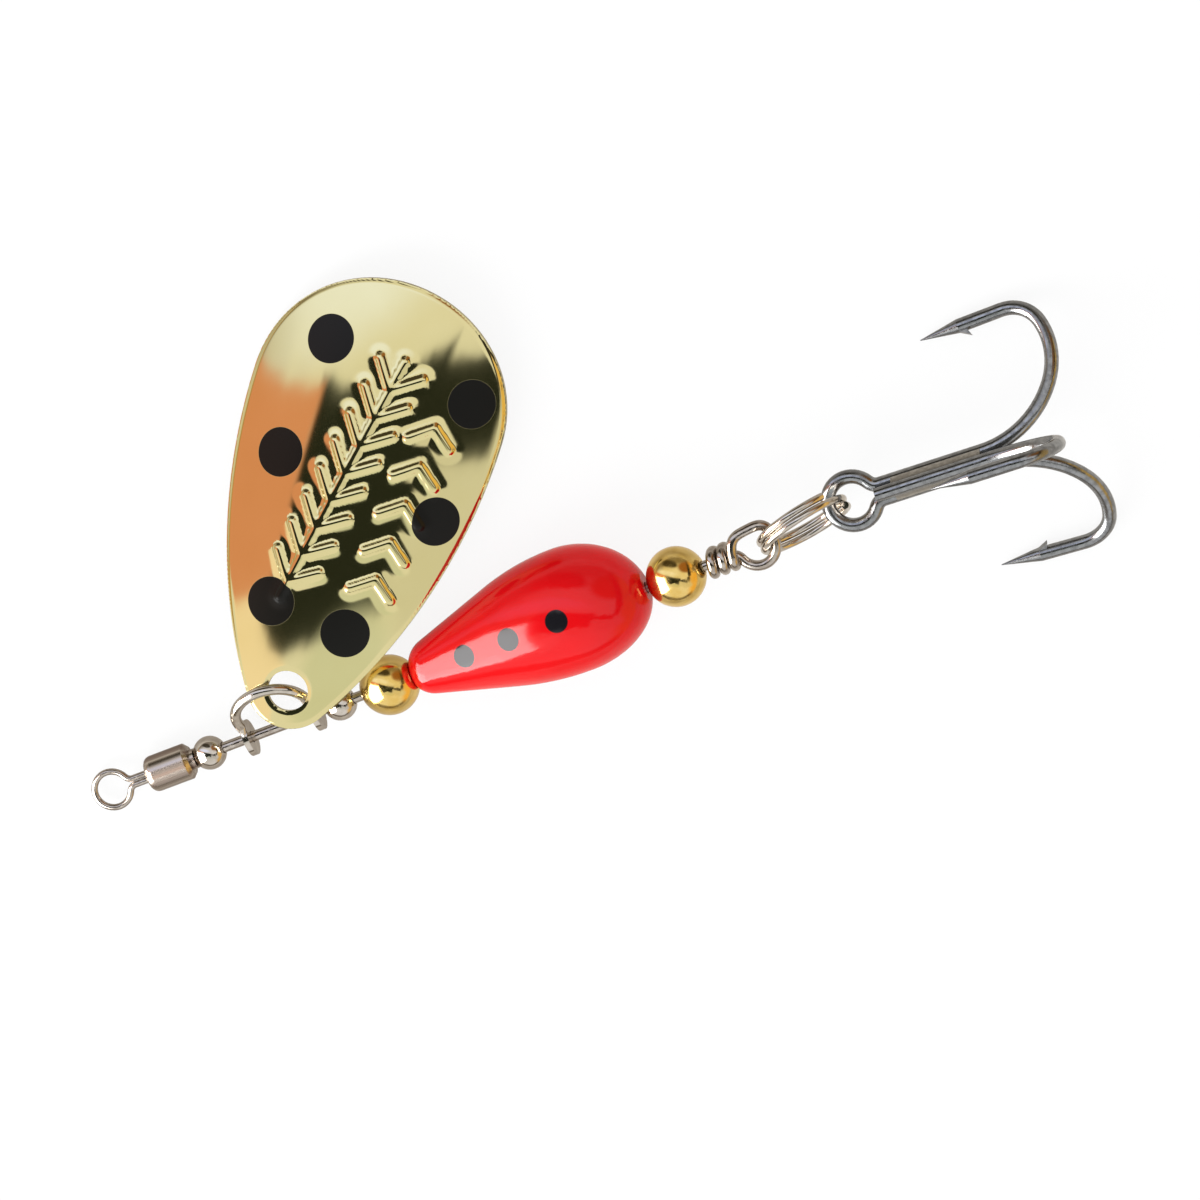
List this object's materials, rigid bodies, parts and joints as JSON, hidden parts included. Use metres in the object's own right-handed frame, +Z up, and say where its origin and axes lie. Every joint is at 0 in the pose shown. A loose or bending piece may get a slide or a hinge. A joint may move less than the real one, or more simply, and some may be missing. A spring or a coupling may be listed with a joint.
{
  "type": "inline spinner",
  "caption": "Inline fishing spinner with a swivel, a dished blade on a clevis, beads, a teardrop body and a treble hook on a split ring.",
  "frame": {"origin": "on the table under the middle of the lure's box, as it lies", "axes": "+X along the lure from the line eye to the hook, +Y to the side on which the blade lies, +Z up from the table; the shaft slopes 5.7 degrees down to the line eye"},
  "size_m": [0.0708, 0.035, 0.0153],
  "materials": {
    "nickel": "bright nickel plate",
    "blade_gold": "polished pale olive gold with black printed spots",
    "bead_brass": "polished brass",
    "body_red": "glossy red enamel with black printed spots",
    "hook_steel": "dark nickel plate",
    "hook_braze": "dull solder"
  },
  "bodies": {
    "shaft": {"shaft_wire": "nickel"},
    "swivel": {"swivel_barrel": "nickel"},
    "line_tie": {"line_eye": "nickel"},
    "front_bead": {"front_bead": "nickel"},
    "clevis": {"clevis": "nickel"},
    "blade": {"blade": "blade_gold"},
    "rear_bead": {"rear_bead": "nickel"},
    "front_brass_bead": {"front_brass_bead": "bead_brass"},
    "body": {"body": "body_red"},
    "rear_brass_bead": {"rear_brass_bead": "bead_brass"},
    "split_ring": {"split_ring": "nickel"},
    "treble_hook": {"double_hook": "hook_steel", "single_hook": "hook_steel", "braze_seam": "hook_braze"}
  },
  "joints": [
    {"name": "swivel_spin", "type": "hinge", "parent": "shaft", "child": "swivel", "pos_m": [-0.02979, -0.00835, 0.00133], "axis": [0.9951, 0, 0.0993], "continuous": true},
    {"name": "line_eye_spin", "type": "hinge", "parent": "swivel", "child": "line_tie", "pos_m": [-0.03133, -0.00835, 0.00118], "axis": [0.9951, 0, 0.0993], "continuous": true},
    {"name": "front_bead_spin", "type": "hinge", "parent": "shaft", "child": "front_bead", "pos_m": [-0.02691, -0.00835, 0.00162], "axis": [0.9951, 0, 0.0993], "continuous": true},
    {"name": "clevis_spin", "type": "hinge", "parent": "shaft", "child": "clevis", "pos_m": [-0.02159, -0.00835, 0.00215], "axis": [0.9951, 0, 0.0993], "continuous": true},
    {"name": "blade_swing", "type": "hinge", "parent": "clevis", "child": "blade", "pos_m": [-0.01998, -0.00589, 0.00477], "axis": [-0.1366, 0.0089, 0.9906], "range_deg": [-2, 40]},
    {"name": "rear_bead_spin", "type": "hinge", "parent": "shaft", "child": "rear_bead", "pos_m": [-0.01747, -0.00835, 0.00256], "axis": [0.9951, 0, 0.0993], "continuous": true},
    {"name": "front_brass_bead_spin", "type": "hinge", "parent": "shaft", "child": "front_brass_bead", "pos_m": [-0.01389, -0.00835, 0.00292], "axis": [0.9951, 0, 0.0993], "continuous": true},
    {"name": "body_spin", "type": "hinge", "parent": "shaft", "child": "body", "pos_m": [-0.00375, -0.00835, 0.00393], "axis": [0.9951, 0, 0.0993], "continuous": true},
    {"name": "rear_brass_bead_spin", "type": "hinge", "parent": "shaft", "child": "rear_brass_bead", "pos_m": [0.00669, -0.00835, 0.00497], "axis": [0.9951, 0, 0.0993], "continuous": true},
    {"name": "ring_swing", "type": "hinge", "parent": "shaft", "child": "split_ring", "pos_m": [0.01372, -0.00835, 0.00567], "axis": [-0.177, 0.9367, -0.3022], "range_deg": [-90, 35]},
    {"name": "hook_swing", "type": "hinge", "parent": "split_ring", "child": "treble_hook", "pos_m": [0.01868, -0.00813, 0.00414], "axis": [0.2641, 0.341, 0.9022], "range_deg": [-80, 80]}
  ]
}
